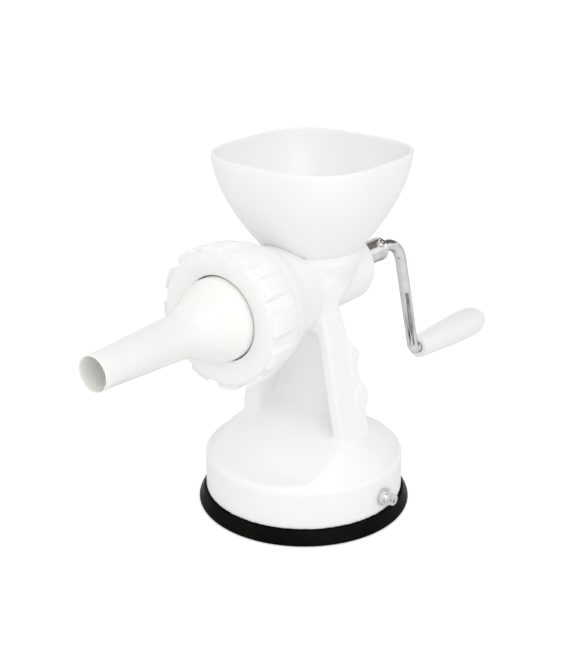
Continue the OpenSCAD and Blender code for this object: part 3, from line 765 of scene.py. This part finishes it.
def crank_rod():
    """Round rod swept along the arm, with a groove pressed into its lower half."""
    lean, droop = math.radians(15.4), math.radians(2.4)
    corner_y, low_z = 96.1, 56.3
    low_y = corner_y + (AXIS - low_z) * math.tan(lean)
    down = Vector((0, math.sin(lean), -math.cos(lean)))
    out = Vector((0, math.cos(droop), -math.sin(droop)))
    top, bottom = Vector((0, corner_y, AXIS)), Vector((0, low_y, low_z))

    def bend(at, before, after, radius, count):
        turn = before.angle(after)
        cut = radius * math.tan(turn / 2)
        start = at - before * cut
        side = (after - before * before.dot(after)).normalized()
        centre = start + side * radius
        angles = [turn * i / count for i in range(count + 1)]
        return [centre - side * radius * math.cos(a) + before * radius * math.sin(a) for a in angles]

    upper = bend(top, Y, down, 19, 20)
    lower = bend(bottom, down, out, 6, 16)
    path = [Vector((0, 66, AXIS))] + upper + [upper[-1].lerp(lower[0], t / 6) for t in range(1, 6)] + lower
    path += [bottom + out * 6.3]
    bm = bmesh.new()
    rings = []
    for i, point in enumerate(path):
        ahead = (path[min(i + 1, len(path) - 1)] - path[max(i - 1, 0)]).normalized()
        made = bmesh.ops.create_circle(bm, segments=64, radius=ROD_R)["verts"]
        across = X.cross(ahead)
        turn = Matrix((X, across, ahead)).transposed().to_4x4()
        bmesh.ops.transform(bm, matrix=Matrix.Translation(point) @ turn, verts=made)
        rings.append(ring_edges(bm, made))
    arm = shape(skinned(bm, rings))
    # the groove faces between the front and the right
    radial = (X * 1.35 + down.cross(X)).normalized()
    facing = Matrix((down.cross(radial), down, radial)).transposed().to_4x4()
    above = ROD_R + 0.4
    groove = bmesh.new()
    for at, half, depth in ((37.5, 1.3, 3.2), (58, 1.8, 3.4), (79, 0.5, 1.6)):
        for x, z in ((-half, above), (half, above), (0, ROD_R - depth)):
            groove.verts.new((x, at, z))
    bmesh.ops.convex_hull(groove, input=groove.verts)
    turned(clean(groove), Matrix.Translation(top) @ facing)
    spindle = turned(rod(3.0, 72, 48), Matrix.Translation(bottom + out * 6) @ aimed(out))
    arm = combined(combined(arm, shape(groove), how="DIFFERENCE"), shape(spindle))
    finished(arm, "crank_rod", "polished_steel", "drive", ("crank_arm",), 0.15)
    return bottom, out


def grip(at, out):
    """Drop shaped grip with a rounded end, a rolled front edge and a recess for the rod."""
    start, length, neck, wide = 5.0, 82.0, 7.6, 10.2
    wide_at = 0.77 * length
    outline = [(3.1, 2), (3.85, 2), (3.85, 0.3), (4.15, 0), (6.3, 0), (7.0, 0.2), (7.45, 0.7)]
    front, steps = 1.4, 20
    outline += [(neck + (wide - neck) * math.sin(math.radians(90 * t / steps)) ** 1.25,
                 front + (wide_at - front) * t / steps)
                for t in range(steps + 1)]
    outline += [(wide * math.cos(math.radians(a)), wide_at + (length - wide_at) * math.sin(math.radians(a)))
                for a in range(6, 90, 6)]
    outline += [(0, length), (0, 70), (3.1, 70)]
    bm = turned(lathe(outline, 96), Matrix.Translation(at + out * start) @ aimed(out))
    place(bm, "grip_body", "white_plastic", "grip", ("grip", "grip_plug"), 0.12, 40)


crank()
at, out = crank_rod()
grip(at, out)


# ---------------------------------------------------------------- suction base

def suction_cup():
    """Rubber cup with a rolled foot and a shoulder under the drum."""
    outline = flowing([(52, 1.2), (57, 0.9), (59, 0.0), (CUP_R - 1.4, 0.0), (CUP_R - 0.1, 1.1),
                       (CUP_R - 0.3, 2.8), (CUP_R - 1.5, 5.2), (DRUM_R + 1.6, 7.8), (DRUM_R + 0.9, 8.35),
                       (DRUM_R - 1, 8.5)], 6)
    outline += [(55.6, 8.5), (55.6, 10.6), (50, 10.6), (50, 5), (0, 5), (0, 1.8)]
    place(lathe(outline, 160), "cup_rubber", "black_rubber", "stand", ("suction_cup",))


def suction_lever():
    """Pressed steel lever with a round end and two small holes, and the slotted screw on its axle."""
    reach, half, waist = 8.4, 3.4, 3
    outline = (arc(0, 0, 4.4, 55, 305, 14) + [(waist, -half), (reach, -half)]
               + arc(reach, 0, half, -90, 90, 10) + [(waist, half)])
    plate = shape(prism(outline, 2.4))
    for x, radius in ((8.6, 1.1), (4.9, 0.7)):
        hole = turned(rod(radius, 6, 32), Matrix.Translation((x, -0.6, -2)))
        plate = combined(plate, shape(hole), how="DIFFERENCE")
    finished(plate, "lever_plate", "polished_steel", "lever", ("suction_lever",), 0.4,
             lever_place(DRUM_R + 1.3))
    head = lathe([(0, 0), (2.7, 0), (2.7, 0.8), (1.9, 1.35), (0, 1.35)], 40)
    head = combined(shape(head), shape(slab((-0.4, -3, 0.7), (0.4, 3, 2))), how="DIFFERENCE")
    finished(head, "lever_screw_head", "polished_steel", "lever", ("lever_screw",), 0.12,
             lever_place(DRUM_R + 3.75))


suction_cup()
suction_lever()

# the CAD nodes that stay in sight take the same finishes
slots = {part["node"]: part["material_slot"] for part in frame["record"]["subparts"]}
for node, obj in frame["nodes"].items():
    for index in range(len(obj.material_slots)):
        obj.material_slots[index].material = FINISH[slots[node]]


# ---------------------------------------------------------------- studio

def lamp(name, where, size, power):
    """Soft square lamp aimed at the barrel."""
    data = bpy.data.lights.new(name, "AREA")
    data.size = size
    data.energy = power
    light = bpy.data.objects.new(name, data)
    light.location = where
    aim = Vector((0, 0, 0.1))
    light.rotation_mode = "QUATERNION"
    light.rotation_quaternion = (aim - light.location).to_track_quat("-Z", "Y")
    bpy.context.collection.objects.link(light)


def floor():
    """White table that keeps the object's shadow."""
    bm = bmesh.new()
    bmesh.ops.create_grid(bm, x_segments=1, y_segments=1, size=6)
    table = shape(bm, "floor")
    table.location.z = -0.0002
    material, nodes, links, principled = shader("floor", (0.9, 0.9, 0.9), 0.8)
    light_path = nodes.new("ShaderNodeLightPath")
    glow = nodes.new("ShaderNodeEmission")
    glow.inputs["Color"].default_value = (1, 1, 1, 1)
    seen = nodes.new("ShaderNodeMath")
    seen.operation = "MULTIPLY"
    seen.inputs[1].default_value = 0.42
    links.new(light_path.outputs["Is Camera Ray"], seen.inputs[0])
    links.new(seen.outputs[0], glow.inputs["Strength"])
    both = nodes.new("ShaderNodeAddShader")
    links.new(principled.outputs[0], both.inputs[0])
    links.new(glow.outputs[0], both.inputs[1])
    links.new(both.outputs[0], nodes["Material Output"].inputs["Surface"])
    table.data.materials.append(material)


def dark_card(name, low, high):
    """Dark board that only the mirror-like metal sees."""
    bm = slab(low, high)
    bmesh.ops.scale(bm, vec=(MM, MM, MM), verts=bm.verts)
    card = shape(bm, name)
    material = shader(name, (0.17, 0.155, 0.145), 0.9)[0]
    card.data.materials.append(material)
    card.visible_camera = False
    card.visible_diffuse = False
    card.visible_shadow = False
    card.visible_transmission = False


def world():
    """Pale surround: white where it is seen or mirrored, softer as a light."""
    sky = bpy.data.worlds.new("studio")
    bpy.context.scene.world = sky
    sky.use_nodes = True
    nodes, links = sky.node_tree.nodes, sky.node_tree.links
    background = nodes["Background"]
    background.inputs["Color"].default_value = (1, 1, 1, 1)
    path = nodes.new("ShaderNodeLightPath")
    seen = path.outputs["Is Camera Ray"]
    for ray in ("Is Glossy Ray", "Is Transmission Ray"):
        either = nodes.new("ShaderNodeMath")
        either.operation = "MAXIMUM"
        links.new(seen, either.inputs[0])
        links.new(path.outputs[ray], either.inputs[1])
        seen = either.outputs[0]
    level = nodes.new("ShaderNodeMapRange")
    level.inputs["To Min"].default_value = 0.745
    level.inputs["To Max"].default_value = 1.0
    links.new(seen, level.inputs["Value"])
    links.new(level.outputs["Result"], background.inputs["Strength"])


world()
floor()
dark_card("card_behind", (-500, 900, 260), (420, 910, 900))
lamp("key", (0.8, -0.45, 1.0), 0.9, 4.6)
lamp("front", (0.35, -1.1, 0.3), 0.9, 1.1)
lamp("fill", (-0.9, -0.6, 0.5), 0.8, 0.9)

bpy.context.scene.view_settings.view_transform = "Standard"
